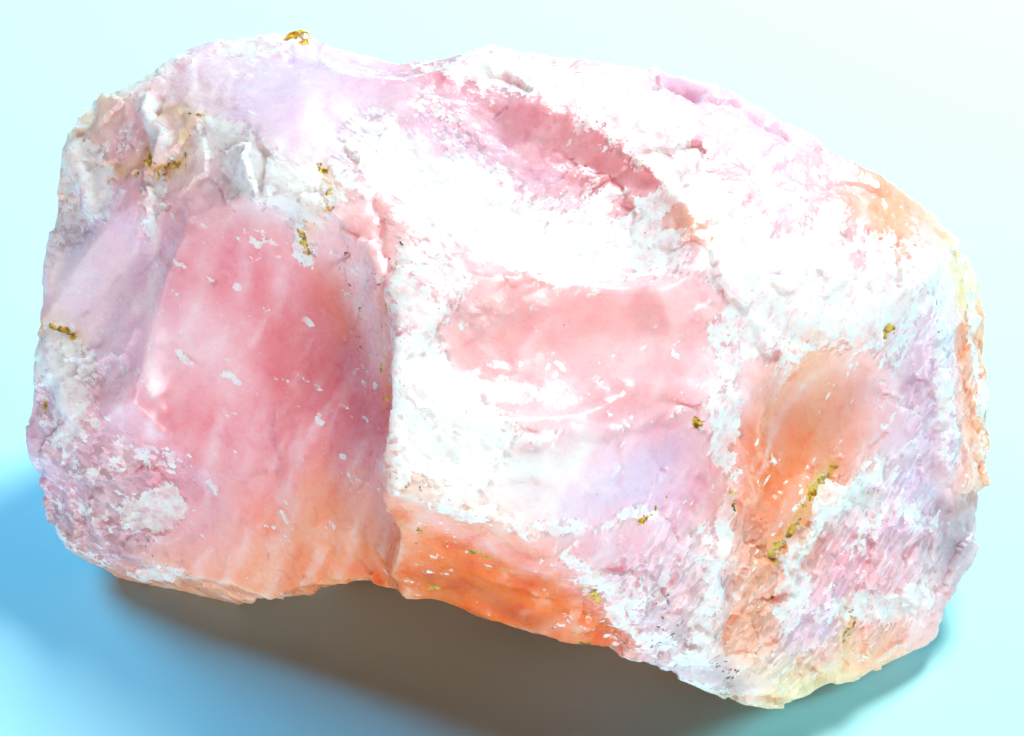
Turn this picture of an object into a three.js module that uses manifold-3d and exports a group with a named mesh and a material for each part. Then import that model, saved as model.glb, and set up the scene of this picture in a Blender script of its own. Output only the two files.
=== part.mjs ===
// A hand-sized chunk of rough rose quartz: one natural stone, one closed solid.
//
// The stone starts as a convex block spanned by its corners. Fractures then take pieces off it:
// smooth bowls where a chip sprang out, and flat-sided wedges where the break followed a step.
// Last, the long faces are divided and nudged by a gentle noise, so that no edge is ruler-straight.
// Millimetres, +Z up, resting on z = 0, longest side along X. The front is -Y, the left end is -X.

import * as THREE from 'three';
import { ConvexGeometry } from 'three/addons/geometries/ConvexGeometry.js';
import { ImprovedNoise } from 'three/addons/math/ImprovedNoise.js';
import { mergeVertices } from 'three/addons/utils/BufferGeometryUtils.js';
import Module from 'manifold-3d';

// Driving dimensions of the finished stone.
const LENGTH = 120;
const DEPTH = 69;
const HEIGHT = 52;

// Roughness of the broken faces.
const LONGEST_EDGE = 5.5;
const WAVE_HEIGHT = 0.9;
const WAVE_SPAN = 8;
const SWELL_HEIGHT = 1.6;
const SWELL_SPAN = 26;
const BASE_BLEND = 5;
const SHORTEST_EDGE = 1.6;
const LEAST_AGREEMENT = 0.6;
const FLAT_ENOUGH = 0.995;
const SWAP_ANGLE = Math.PI * 1.02;

// ---- the unbroken block: its corners, each [x, y, z] ----

const backRim = [
  [-54, 23, 39],
  [-51, 28, 43],
  [-43, 32, 47],
  [-27, 32, 50],
  [-10, 27, 51],
  [10, 25, 51],
  [25, 24, 47],
  [44, 13, 41],
  [53, 11, 35],
];
const leftEnd = [
  [-55, 17, 35],
  [-58, 6, 26],
  [-60, -5, 13],
  [-57, -13, 4],
];
const rightEnd = [
  [57, 11, 29],
  [58, 2, 20],
  [55, -17, 9],
  [50, -26, 3],
];
const topRidge = [
  [-24, 7, 51],
  [-12, -3, 51],
  [-12, -22, 47],
  [-12, -32, 42],
  [1, -34, 38],
  [20, -3, 48],
  [46, 0, 38],
];
const frontFoot = [
  [-18, -31, 21],
  [11, -35, 17],
  [29, -36, 5],
  [38, -32, 2],
];
const base = [
  [-50, -15, 0],
  [-29, -21, 0],
  [26, -30, 0],
  [46, -26, 0],
  [52, -8, 0],
  [44, 14, 0],
  [10, 25, 0],
  [-30, 26, 0],
  [-52, 10, 0],
];

// ---- geometry helpers ----

const wasm = await Module();
wasm.setup();

function hullOf(points) {
  return new ConvexGeometry(points.map(([x, y, z]) => new THREE.Vector3(x, y, z)));
}

// A bowl-shaped scar, as part of an ellipsoid. `floor` is its deepest point, `outward` points out
// of the stone there, and `along` is the bowl's long direction. The ellipsoid's own half-height is
// `swell` times the depth: a small swell gives steep sides, a large one a shallow dish.
function bowl({ floor, outward, along, halfLength, halfWidth, depth, swell = 3 }) {
  const up = new THREE.Vector3(...outward).normalize();
  const side = up.clone().cross(new THREE.Vector3(...along)).normalize();
  const length = side.clone().cross(up);
  const height = swell * depth;
  const spread = Math.sqrt(1 - ((height - depth) / height) ** 2);
  const geometry = new THREE.IcosahedronGeometry(1, Math.ceil(halfLength / spread / LONGEST_EDGE));
  geometry.scale(halfLength / spread, halfWidth / spread, height);
  geometry.applyMatrix4(new THREE.Matrix4().makeBasis(length, side, up));
  geometry.translate(...up.multiplyScalar(height).add(new THREE.Vector3(...floor)).toArray());
  return geometry;
}

function toManifold(geometry) {
  const closed = geometry.clone();
  closed.deleteAttribute('normal');
  closed.deleteAttribute('uv');
  const welded = mergeVertices(closed, 1e-4);
  return new wasm.Manifold(new wasm.Mesh({
    numProp: 3,
    vertProperties: new Float32Array(welded.attributes.position.array),
    triVerts: new Uint32Array(welded.index.array),
  }));
}

// Points and triangles of a manifold solid, as plain arrays.
function toLists(solid) {
  const mesh = solid.getMesh();
  const points = [];
  for (let i = 0; i < mesh.vertProperties.length; i += mesh.numProp) {
    points.push(new THREE.Vector3(...mesh.vertProperties.slice(i, i + 3)));
  }
  const triangles = [];
  for (let i = 0; i < mesh.triVerts.length; i += 3) {
    triangles.push(Array.from(mesh.triVerts.slice(i, i + 3)));
  }
  return { points, triangles };
}

// Where two cuts cross, they leave slivers. This closes up every edge shorter than `limit`, but
// only where no triangle turns over and the skin stays a single closed sheet.
function closeShortEdges({ points, triangles }, limit) {
  let current = triangles;
  for (;;) {
    const around = points.map(() => new Set());
    current.forEach((triangle, i) => triangle.forEach((corner) => around[corner].add(i)));
    const edges = current.flatMap(([a, b, c]) => [[a, b], [b, c], [c, a]])
      .filter(([a, b]) => a < b && points[a].distanceTo(points[b]) < limit);
    const busy = new Set();
    const renamed = new Map();
    for (const [a, b] of edges) {
      const touched = [...around[a], ...around[b]];
      const ring = new Set(touched.flatMap((i) => current[i]));
      if ([...ring].some((corner) => busy.has(corner))) continue;
      if (!canClose(points, current, touched, a, b)) continue;
      points[a].copy(meetingPoint(points[a], points[b]));
      renamed.set(b, a);
      ring.forEach((corner) => busy.add(corner));
    }
    if (renamed.size === 0) return { points, triangles: current };
    current = current
      .map((triangle) => triangle.map((corner) => renamed.get(corner) ?? corner))
      .filter(([a, b, c]) => a !== b && b !== c && c !== a);
  }
}

function dropUnusedPoints({ points, triangles }) {
  const used = [...new Set(triangles.flat())];
  const place = new Map(used.map((corner, i) => [corner, i]));
  return {
    points: used.map((corner) => points[corner]),
    triangles: triangles.map((triangle) => triangle.map((corner) => place.get(corner))),
  };
}

// The point that replaces both ends of a closed edge. A resting point stays on the ground.
function meetingPoint(a, b) {
  if (a.z === 0 && b.z > 0) return a.clone();
  if (b.z === 0 && a.z > 0) return b.clone();
  return a.clone().lerp(b, 0.5);
}

// True if edge a-b can be closed without folding a neighbouring triangle or pinching the skin.
function canClose(points, triangles, touched, a, b) {
  const beside = (end) => new Set(touched.map((i) => triangles[i]).filter((t) => t.includes(end)).flat());
  const besideB = beside(b);
  const shared = [...beside(a)].filter((corner) => besideB.has(corner) && corner !== a && corner !== b);
  if (shared.length !== 2) return false;
  const target = meetingPoint(points[a], points[b]);
  return touched.every((i) => {
    const triangle = triangles[i];
    if (triangle.includes(a) && triangle.includes(b)) return true;
    const before = new THREE.Triangle(...triangle.map((corner) => points[corner]));
    const moved = triangle.map((corner) => (corner === a || corner === b ? target : points[corner]));
    const after = new THREE.Triangle(...moved);
    const turn = before.getNormal(new THREE.Vector3()).dot(after.getNormal(new THREE.Vector3()));
    return turn > LEAST_AGREEMENT && after.getArea() > 0;
  });
}

// Within each flat face, swaps the diagonal of two neighbouring triangles wherever that makes them
// less needle-like, until nothing improves. The shape of the skin doesn't change.
function swapDiagonals({ points, triangles }) {
  const current = triangles.map((triangle) => [...triangle]);
  const normalOf = (corners) => new THREE.Triangle(...corners.map((corner) => points[corner]))
    .getNormal(new THREE.Vector3());
  for (let swapped = true; swapped;) {
    swapped = false;
    const owner = new Map();
    current.forEach(([a, b, c], i) => [[a, b], [b, c], [c, a]].forEach((edge) => owner.set(`${edge}`, i)));
    const busy = new Set();
    for (const key of [...owner.keys()]) {
      const [a, b] = key.split(',').map(Number);
      const [one, other] = [owner.get(`${a},${b}`), owner.get(`${b},${a}`)];
      if (a > b || busy.has(one) || busy.has(other)) continue;
      const c = current[one].find((corner) => corner !== a && corner !== b);
      const d = current[other].find((corner) => corner !== a && corner !== b);
      if (owner.has(`${c},${d}`) || owner.has(`${d},${c}`)) continue;
      if (normalOf(current[one]).dot(normalOf(current[other])) < FLAT_ENOUGH) continue;
      if (angleAt(points[c], points[a], points[b]) + angleAt(points[d], points[a], points[b]) < SWAP_ANGLE) {
        continue;
      }
      current[one] = [a, d, c];
      current[other] = [d, b, c];
      busy.add(one).add(other);
      swapped = true;
    }
  }
  return { points, triangles: current };
}

function angleAt(corner, a, b) {
  return a.clone().sub(corner).angleTo(b.clone().sub(corner));
}

// Splits every edge longer than `limit` at its middle, until none is left. Triangles that share
// an edge share its new point, so the skin stays closed.
function splitLongEdges({ points, triangles }, limit) {
  let current = triangles;
  for (;;) {
    current = swapDiagonals({ points, triangles: current }).triangles;
    const middles = new Map();
    const middleOf = (a, b) => {
      if (points[a].distanceTo(points[b]) <= limit) return -1;
      const key = a < b ? `${a}_${b}` : `${b}_${a}`;
      if (!middles.has(key)) {
        middles.set(key, points.length);
        points.push(points[a].clone().lerp(points[b], 0.5));
      }
      return middles.get(key);
    };
    const next = [];
    for (const [a, b, c] of current) {
      next.push(...splitTriangle(points, [a, b, c], [middleOf(a, b), middleOf(b, c), middleOf(c, a)]));
    }
    if (middles.size === 0) return { points, triangles: current };
    current = next;
  }
}

// One triangle cut at the middles of its long edges; -1 marks an edge that stays whole.
function splitTriangle(points, corners, middles) {
  const cuts = middles.filter((m) => m >= 0).length;
  if (cuts === 0) return [corners];
  // Turn the triangle until the cut edges come first.
  let [a, b, c] = corners;
  let [ab, bc, ca] = middles;
  while (!(ab >= 0 && (cuts < 2 || bc >= 0))) {
    [a, b, c] = [b, c, a];
    [ab, bc, ca] = [bc, ca, ab];
  }
  if (cuts === 1) return [[a, ab, c], [ab, b, c]];
  if (cuts === 3) return [[a, ab, ca], [ab, b, bc], [ca, bc, c], [ab, bc, ca]];
  const shorter = points[ab].distanceTo(points[c]) < points[a].distanceTo(points[bc]);
  return shorter
    ? [[ab, b, bc], [a, ab, c], [ab, bc, c]]
    : [[ab, b, bc], [a, ab, bc], [a, bc, c]];
}

const perlin = new ImprovedNoise();

// A smooth random push, up to about one unit each way, that varies over `span`.
function push(point, span, seed) {
  const [x, y, z] = point.clone().divideScalar(span).toArray();
  return new THREE.Vector3(
    perlin.noise(x + seed, y, z),
    perlin.noise(x, y + seed, z + seed),
    perlin.noise(x + seed, y + seed, z),
  );
}

// Moves a point of the skin off its straight face. Points of the resting face stay level.
function roughen(point) {
  const swell = push(point, SWELL_SPAN, 3.7).multiplyScalar(SWELL_HEIGHT);
  const wave = push(point, WAVE_SPAN, 9.3).multiplyScalar(WAVE_HEIGHT);
  const lift = THREE.MathUtils.smoothstep(point.z, 0, BASE_BLEND);
  const offset = swell.add(wave);
  offset.z *= lift;
  point.add(offset);
}

// Scales the points to the driving dimensions, centred over the origin and resting on z = 0.
function fitToSize(skin) {
  const box = new THREE.Box3().setFromPoints(skin);
  const size = box.getSize(new THREE.Vector3());
  const centre = box.getCenter(new THREE.Vector3());
  for (const point of skin) {
    point.x = ((point.x - centre.x) * LENGTH) / size.x;
    point.y = ((point.y - centre.y) * DEPTH) / size.y;
    point.z = (point.z * HEIGHT) / size.z;
  }
}

// ---- the stone ----

const block = hullOf([...backRim, ...leftEnd, ...rightEnd, ...topRidge, ...frontFoot, ...base]);

let stone = toManifold(block);
const roseFace = bowl({
  floor: [-22, -11, 30], outward: [-0.6, -0.6, 0.52], along: [0.05, -0.62, -0.79],
  halfLength: 28, halfWidth: 15, depth: 3.6, swell: 3,
});
const roseFoot = bowl({
  floor: [-36, -17, 13], outward: [-0.35, -0.75, 0.55], along: [1, -0.5, 0],
  halfLength: 20, halfWidth: 12, depth: 2.5, swell: 4,
});
const leftStrip = bowl({
  floor: [-47, 2, 29], outward: [-0.55, -0.45, 0.7], along: [0.5, 0.43, 0.75],
  halfLength: 17, halfWidth: 8, depth: 2, swell: 4,
});
const crestStep = bowl({
  floor: [1, 6, 46], outward: [0.05, -0.2, 1], along: [0.85, -0.5, 0],
  halfLength: 22, halfWidth: 12, depth: 4.5, swell: 1.3,
});
const rimNotch = bowl({
  floor: [-12, 24, 48], outward: [-0.1, 0.55, 0.8], along: [1, -0.1, 0.1],
  halfLength: 10, halfWidth: 8, depth: 3, swell: 3,
});
const salmonDip = bowl({
  floor: [9, -12, 43], outward: [0, -0.5, 0.85], along: [1, 0.2, 0],
  halfLength: 15, halfWidth: 8, depth: 3,
});
const orangeHollow = bowl({
  floor: [42, -10, 30], outward: [0, -0.7, 0.7], along: [0.7, 0.6, 0.4],
  halfLength: 16, halfWidth: 12, depth: 6,
});
const backBowl = bowl({
  floor: [20, 21, 22], outward: [0.2, 0.9, 0.1], along: [1, -0.2, 0.3],
  halfLength: 24, halfWidth: 15, depth: 4,
});
const backChip = bowl({
  floor: [-40, 25, 24], outward: [-0.5, 0.85, 0.1], along: [0.2, 0.2, 1],
  halfLength: 20, halfWidth: 13, depth: 4,
});
const undercut = hullOf([
  [-29, -22, 8], [-18, -29, 21], [-8, -31, 21], [11, -35, 16], [27, -36, 4],
  [-29, -60, 8], [-18, -60, 21], [-8, -60, 21], [11, -60, 16], [27, -60, 4],
  [-36, -16, -4], [-10, -11, -4], [26, -26, -4], [-36, -60, -4], [26, -60, -4],
]);
const scars = [
  roseFace, roseFoot, leftStrip, crestStep, rimNotch, salmonDip, orangeHollow, backBowl, backChip,
  undercut,
];
for (const scar of scars) stone = stone.subtract(toManifold(scar));

const cleaned = dropUnusedPoints(closeShortEdges(swapDiagonals(toLists(stone)), SHORTEST_EDGE));
const { points, triangles } = splitLongEdges(cleaned, LONGEST_EDGE);
points.forEach(roughen);
fitToSize(points);

const geometry = new THREE.BufferGeometry();
geometry.setAttribute('position', new THREE.Float32BufferAttribute(points.flatMap((p) => p.toArray()), 3));
geometry.setIndex(triangles.flat());
geometry.computeVertexNormals();

const rose = new THREE.MeshStandardMaterial({ color: 0xe79aa6, roughness: 0.35, metalness: 0 });
const chunk = new THREE.Mesh(geometry, rose);
chunk.name = 'rose_quartz_chunk';

const group = new THREE.Group();
group.add(chunk);
export default group;
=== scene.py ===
"""A hand-sized chunk of rough rose quartz on a pale table, lit softly from above and a little behind.

The CAD stone gives the size and the main breaks. A finer copy of it is carved here with steps, chips,
nicks and grain, and then painted. Broad colour, with painted glow on the thin edges and painted shade on the
crest step, clouds and streaks are stored on the mesh. White frost and white painted as glare, ochre stain,
white flecks painted as glints, and pits are stored as soft fields, whose crisp edges are cut by noise in the
shader.
Places on the stone are in millimetres: x to the right, y to the back, z up.
"""

import math

import bmesh
import bpy
import numpy as np
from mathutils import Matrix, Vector


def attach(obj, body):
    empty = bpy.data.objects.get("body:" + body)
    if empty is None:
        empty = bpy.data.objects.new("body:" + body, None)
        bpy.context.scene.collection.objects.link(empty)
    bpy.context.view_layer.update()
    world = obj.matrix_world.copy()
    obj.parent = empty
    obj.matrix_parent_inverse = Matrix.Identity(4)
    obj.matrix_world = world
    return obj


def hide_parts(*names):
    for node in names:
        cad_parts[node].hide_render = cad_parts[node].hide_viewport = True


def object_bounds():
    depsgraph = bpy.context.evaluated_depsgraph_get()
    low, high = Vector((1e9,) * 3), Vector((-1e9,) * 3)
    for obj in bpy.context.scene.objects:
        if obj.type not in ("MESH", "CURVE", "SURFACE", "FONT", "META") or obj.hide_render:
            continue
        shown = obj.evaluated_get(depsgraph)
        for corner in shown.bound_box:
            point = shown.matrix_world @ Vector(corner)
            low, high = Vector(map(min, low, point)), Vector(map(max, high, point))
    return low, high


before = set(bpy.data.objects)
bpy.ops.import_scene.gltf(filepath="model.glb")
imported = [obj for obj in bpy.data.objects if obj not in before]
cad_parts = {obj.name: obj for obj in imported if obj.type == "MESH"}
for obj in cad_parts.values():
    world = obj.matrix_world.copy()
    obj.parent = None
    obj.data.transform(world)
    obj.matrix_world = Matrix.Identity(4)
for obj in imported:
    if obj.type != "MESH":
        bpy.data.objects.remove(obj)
cad_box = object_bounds()

NODE = "rose_quartz_chunk"
MM = 0.001

# ---- fineness of the visual mesh, in mm ----
VOXEL = 0.4
MOST_TRIANGLES = 190000
SMOOTH_LEVELS = 2

# ---- bends between faces: creased from soft to sharp before carving, and shaded crisp after it ----
SOFT_EDGE = math.radians(16)
SHARP_EDGE = math.radians(30)
CRISP_EDGE = math.radians(38)

# ---- limits of the carving, in mm: calm above the ground, held to the ground, and inside the CAD box ----
BASE_ZONE = 1.5
GROUND_BAND = 0.25
INSET = 0.02
SAME_PLACE = 0.001 * MM

# ---- palette: linear colours of the stone; frost also stands for painted glare, orange and coral for painted glow through thin parts, wine for painted shade and sky for painted blue light ----
PALETTE = {
    "deep_rose": (0.80, 0.22, 0.26),
    "rose": (0.88, 0.38, 0.45),
    "dusk": (0.82, 0.47, 0.55),
    # wine: rose darkened as painted shade on the crest step
    "wine": (0.70, 0.33, 0.41),
    "pale_rose": (0.93, 0.52, 0.60),
    "flush": (0.76, 0.33, 0.36),
    "salmon": (0.98, 0.58, 0.60),
    "terracotta": (0.95, 0.57, 0.60),
    "milk": (0.92, 0.78, 0.86),
    "lilac": (0.86, 0.68, 0.84),
    # frost: white crust, and also white painted as the window's glare, tinted cyan like that light
    "frost_and_glare": (0.84, 0.93, 0.95),
    "lavender": (0.78, 0.68, 0.90),
    "mauve": (0.88, 0.64, 0.76),
    "sky": (0.68, 0.80, 0.96),
    "grey": (0.50, 0.46, 0.54),
    "beige": (0.78, 0.70, 0.62),
    # orange: painted glow of light passing through thin parts of the stone
    "orange": (0.86, 0.18, 0.01),
    "coral": (0.93, 0.32, 0.13),
    "peach": (0.97, 0.52, 0.34),
    "cream": (0.90, 0.80, 0.54),
    "ochre": (0.74, 0.56, 0.16),
    "brown": (0.42, 0.12, 0.03),
}

# ---- patches of colour: each takes over the skin nearest to its places ----
PATCHES = [
    # left end
    # sky: blue painted in for the blue light from the left, which lights only the table
    ("sky", [(-55, 17, 33), (-53, 10, 30), (-52, 13, 34), (-53, 4, 26)]),
    ("mauve", [(-48, 9, 34), (-47, 1, 28), (-50, 6, 31), (-46, -4, 24), (-48, 14, 37), (-47, -2, 24)]),
    ("pale_rose", [(-58, 13, 28), (-57, 10, 27), (-48, -13, 8), (-53, -9, 11), (-52, -5, 17)]),
    ("peach", [(-57, 20, 35), (-51, -13, 4), (-44, -18, 4)]),
    ("lavender", [(-56, -6, 13)]),
    ("dusk", [(-53, -7, 14), (-47, -10, 14)]),
    ("grey", [(-55, -10, 7), (-46, -14, 10), (-50, -9, 15), (-52, -12, 8), (-54, -5, 17), (-49, -12, 11)]),
    # large scooped face
    ("dusk", [(-36, 10, 44), (-39, 8, 40), (-32, 7, 45), (-40, -12, 15), (-37, -15, 12), (-36, -10, 19)]),
    ("lavender", [(-42, 8, 37), (-42, 0, 31)]),
    ("pale_rose", [(-37, 1, 33), (-36, -1, 31), (-37, -4, 27), (-39, -1, 30), (-34, -5, 28)]),
    ("rose", [(-38, 6, 38), (-33, 5, 41), (-30, 1, 37), (-33, -8, 24), (-30, -12, 22), (-41, -6, 22)]),
    ("salmon", [(-15, 0, 50), (-13, -4, 50), (-17, -1, 46), (-13, -11, 47), (-14, -8, 46), (-17, 2, 49)]),
    ("rose", [(-22, 1, 43), (-26, 3, 43)]),
    ("deep_rose", [(-24, -6, 33), (-20, -5, 38), (-20, -9, 32), (-17, -15, 31), (-26, -1, 37)]),
    ("deep_rose", [(-24, -12, 26), (-15, -19, 36)]),
    ("peach", [(-32, -20, 8), (-35, -18, 9)]),
    ("peach", [(-28, -18, 16), (-21, -19, 22)]),
    ("coral", [(-20, -22, 18), (-18, -21, 24), (-25, -21, 15)]),
    ("salmon", [(-14, -25, 38), (-16, -22, 30), (-27, -15, 20)]),
    # skin above it, to the top left
    ("beige", [(-49, 26, 41), (-51, 24, 40), (-40, 17, 44), (-38, 20, 47)]),
    ("dusk", [(-46, 21, 42), (-44, 18, 42)]),
    ("milk", [(-42, 20, 45), (-36, 23, 48), (-31, 30, 50), (-40, 29, 46), (-30, 14, 49)]),
    ("lavender", [(-30, 22, 50), (-24, 27, 51), (-26, 22, 51), (-34, 27, 49), (-27, 17, 50)]),
    ("lilac", [(-24, 18, 51), (-18, 20, 51), (-20, 14, 51), (-16, 11, 50)]),
    ("frost_and_glare", [(-33, 13, 47), (-28, 9, 49), (-22, 4, 49)]),
    # top
    ("milk", [(-10, -6, 49), (-11, -14, 48), (-14, 12, 50), (-7, 7, 47), (5, 5, 46), (10, 0, 46)]),
    ("milk", [(0, 26, 51), (21, -1, 47), (33, 6, 45), (39, -2, 41), (27, -9, 41), (24, -15, 38)]),
    ("milk", [(14, 20, 50), (50, 6, 37)]),
    # wine and rose on the crest band: its rose darkened as painted shade, where the step faces away from the
    # window
    ("wine", [(-9, 23, 52), (-3, 19, 51), (5, 16, 50), (1, 17, 51)]),
    ("rose", [(-6, 22, 51), (2, 18, 50)]),
    ("flush", [(12, 13, 48), (17, 9, 48), (8, 15, 49)]),
    ("lilac", [(-13, 22, 51), (-8, 18, 52), (-3, 15, 50), (22, 24, 48), (26, 21, 47), (30, 18, 46)]),
    ("pale_rose", [(33, 13, 46), (29, 10, 47), (38, 13, 44), (16, 5, 47), (6, 11, 47), (21, 1, 48)]),
    ("pale_rose", [(40, 3, 42)]),
    ("peach", [(43, 11, 42), (46, 10, 41)]),
    ("salmon", [(8, -9, 44), (14, -8, 44), (1, -10, 44), (20, -7, 45), (-3, -12, 44)]),
    ("terracotta", [(6, -13, 43), (12, -14, 43), (20, -12, 42), (2, -18, 43), (8, -19, 42), (19, -15, 40)]),
    ("flush", [(-1, -17, 43), (3, -17, 42), (7, -18, 42), (11, -17, 42), (15, -17, 41), (5, -20, 42)]),
    # front facets below the top, whose frost patches are white painted as the window's glare
    ("frost_and_glare", [(-8, -18, 45), (-7, -26, 42), (-2, -22, 43), (1, -28, 40)]),
    ("frost_and_glare", [(5, -25, 41), (3, -24, 42)]),
    ("milk", [(4, -28, 39), (8, -23, 41)]),
    ("lavender", [(10, -23, 39), (8, -26, 39), (14, -22, 38), (12, -26, 37), (18, -22, 36), (16, -24, 35)]),
    ("rose", [(8, -32, 33), (21, -22, 34), (18, -31, 23), (14, -31, 30), (22, -23, 32)]),
    ("milk", [(11, -32, 31), (13, -33, 22), (18, -29, 27)]),
    ("lilac", [(15, -31, 26), (13, -33, 19), (11, -32, 28), (19, -34, 12)]),
    ("milk", [(14, -33, 17)]),
    ("beige", [(23, -34, 10), (27, -34, 7)]),
    # front underside: its orange and coral are painted glow of light passing through the thin edge
    ("coral", [(-11, -29, 38), (-8, -30, 36), (-14, -28, 32), (-4, -31, 37), (3, -32, 33)]),
    ("orange", [(-6, -30, 27), (-1, -32, 30), (5, -32, 25), (-13, -28, 24), (9, -33, 20), (1, -32, 21)]),
    ("orange", [(-5, -31, 31), (2, -32, 30), (6, -33, 26), (8, -33, 22), (9, -33, 21), (10, -33, 18)]),
    ("orange", [(6, -33, 18)]),
    ("coral", [(-17, -25, 22), (0, -28, 14)]),
    # hollow at the right: its orange, coral and peach are painted glow of light passing through the thin wall
    ("orange", [(28, -20, 30), (27, -22, 29), (31, -18, 28), (29, -16, 32), (30, -22, 26)]),
    ("coral", [(31, -12, 34), (35, -14, 28)]),
    ("peach", [(33, -14, 30), (35, -9, 35)]),
    ("peach", [(37, -8, 34), (38, -10, 31)]),
    ("salmon", [(41, -6, 34), (42, -9, 30), (39, -12, 28)]),
    ("lilac", [(46, -4, 32), (47, -8, 27), (49, -8, 24)]),
    # lower right
    ("frost_and_glare", [(26, -22, 29), (23, -29, 23), (22, -33, 16), (50, -20, 9), (40, -16, 23)]),
    ("coral", [(29, -26, 22), (27, -30, 19)]),
    ("peach", [(32, -24, 20), (29, -31, 16), (40, -28, 9), (43, -28, 7), (47, -26, 5)]),
    ("pale_rose", [(44, -21, 16), (46, -19, 14), (38, -23, 17), (51, -22, 7), (45, -23, 12)]),
    ("lavender", [(35, -27, 15), (37, -28, 12), (48, -16, 17)]),
    ("cream", [(34, -32, 6), (29, -33, 5), (38, -30, 4)]),
    # right end
    ("cream", [(56, 11, 31), (55, 14, 34)]),
    ("peach", [(57, 8, 26), (58, 4, 23), (57, -2, 20), (57, -8, 17)]),
    ("lavender", [(51, -1, 32), (53, -7, 22)]),
    ("grey", [(55, -18, 10), (54, -15, 12)]),
    # back and foot
    ("rose", [(0, 28, 36), (-20, 30, 30), (30, 20, 30), (12, 25, 18), (-42, 24, 26), (-34, 26, 20)]),
    ("pale_rose", [(-10, 28, 22), (-35, 28, 38), (20, 24, 40), (44, 12, 30), (-54, 10, 16), (-30, 28, 14)]),
    ("lilac", [(5, 27, 44), (-25, 30, 44), (38, 15, 36), (-48, 20, 34)]),
    ("peach", [(0, 25, 8), (40, 14, 12), (-50, 8, 6), (-20, 27, 5)]),
    ("coral", [(20, 20, 4), (56, 2, 12), (0, -14, 6), (-15, -20, 12), (20, -26, 4)]),
]
PATCH_REACH = 3.4

# ---- glazes: soft lines laid over the patches. Each is a colour, a line, its half width and strength ----
GLAZES = [
    ("milk", [(-41, 14, 42), (-42, 8, 36), (-42, 0, 32), (-43, -7, 22)], 0.9, 0.75),
    ("milk", [(-37, 2, 34), (-35, -2, 30)], 2.6, 0.35),
    ("milk", [(-30, 6, 43), (-31, -2, 34), (-35, -9, 22)], 0.8, 0.4),
    ("coral", [(-13, -8, 46), (-14, -14, 40), (-14, -22, 36)], 1.6, 0.5),
    ("coral", [(-20, -1, 42), (-18, -5, 40)], 2.4, 0.35),
    ("salmon", [(-15, -2, 48), (-15, -7, 45), (-16, -12, 40)], 1.6, 0.6),
    ("milk", [(-51, 5, 27), (-48, 4, 29), (-45, 5, 32)], 2.2, 0.45),
    ("grey", [(-53, -7, 16), (-51, -9, 15), (-48, -10, 13)], 1.6, 0.5),
    ("milk", [(-26, 4, 42), (-27, -3, 36), (-29, -9, 27)], 0.7, 0.4),
    ("milk", [(-22, -8, 34), (-25, -13, 25), (-28, -18, 15)], 0.7, 0.4),
    ("milk", [(-33, -3, 32), (-35, -10, 20), (-37, -14, 12)], 0.6, 0.35),
    # orange glazes: painted glow of light passing through the thin edge and the hollow's wall
    ("orange", [(-13, -28, 26), (-6, -31, 25), (1, -32, 24), (7, -33, 23), (11, -33, 18)], 2.8, 0.75),
    ("orange", [(27, -22, 29), (28, -18, 31)], 2.0, 0.6),
    ("coral", [(-28, -17, 18), (-22, -20, 19)], 2.4, 0.45),
    ("frost_and_glare", [(-57, 17, 33), (-56, 12, 30), (-55, 8, 27)], 1.6, 0.5),
    ("ochre", [(-58, 8, 25), (-55, 6, 26), (-53, 5, 26)], 1.2, 0.4),
    ("ochre", [(-50, 20, 38), (-43, 18, 44), (-41, 16, 43), (-38, 15, 46)], 1.2, 0.45),
    ("ochre", [(-41, 23, 46), (-39, 22, 47), (-36, 20, 48), (-38, 18, 47)], 1.0, 0.4),
    ("ochre", [(-21, 9, 51), (-20, 5, 51), (-23, 3, 46)], 1.2, 0.35),
    ("ochre", [(37, -15, 26), (34, -19, 26), (32, -22, 24), (30, -24, 22)], 1.0, 0.5),
    ("salmon", [(-8, -30, 38), (-2, -32, 35), (3, -32, 32)], 1.1, 0.5),
    ("beige", [(-11, -29, 42), (-8, -30, 41), (-5, -30, 40)], 1.0, 0.7),
    ("ochre", [(40, -26, 12), (39, -28, 8)], 1.6, 0.4),
    ("ochre", [(19, 4, 48), (22, 1, 48)], 1.6, 0.35),
    ("lilac", [(-11, 17, 51), (-5, 14, 50), (1, 11, 48), (5, 10, 48)], 1.3, 0.6),
    ("mauve", [(17, 23, 50), (20, 20, 50), (27, 19, 47), (32, 12, 46)], 2.4, 0.6),
    ("milk", [(5, -14, 43), (12, -14, 43), (20, -12, 42)], 2.4, 0.3),
    ("frost_and_glare", [(2, -26, 41), (6, -25, 41), (8, -23, 41)], 1.4, 0.6),
    ("salmon", [(30, -14, 31), (33, -10, 33)], 1.6, 0.25),
    ("brown", [(-8, -30, 27), (-2, -32, 24), (4, -33, 20)], 1.2, 0.35),
    ("brown", [(-12, -28, 28), (-6, -30, 23)], 1.0, 0.3),
    ("grey", [(15, -32, 24), (18, -33, 19), (22, -34, 14)], 2.0, 0.4),
    ("grey", [(24, -34, 13), (27, -34, 9)], 1.4, 0.6),
    ("grey", [(24, -29, 23), (23, -32, 18)], 0.7, 0.6),
    ("sky", [(22, -31, 20), (21, -33, 16)], 0.8, 0.6),
    ("beige", [(19, -34, 8), (27, -34, 4)], 1.2, 0.7),
    ("sky", [(52, 1, 34), (53, -4, 27), (54, -9, 20)], 1.4, 0.5),
    ("coral", [(56, 5, 28), (57, 3, 24), (57, -3, 20)], 1.5, 0.6),
    ("ochre", [(54, 9, 33), (56, 8, 29)], 1.5, 0.35),
]

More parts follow.
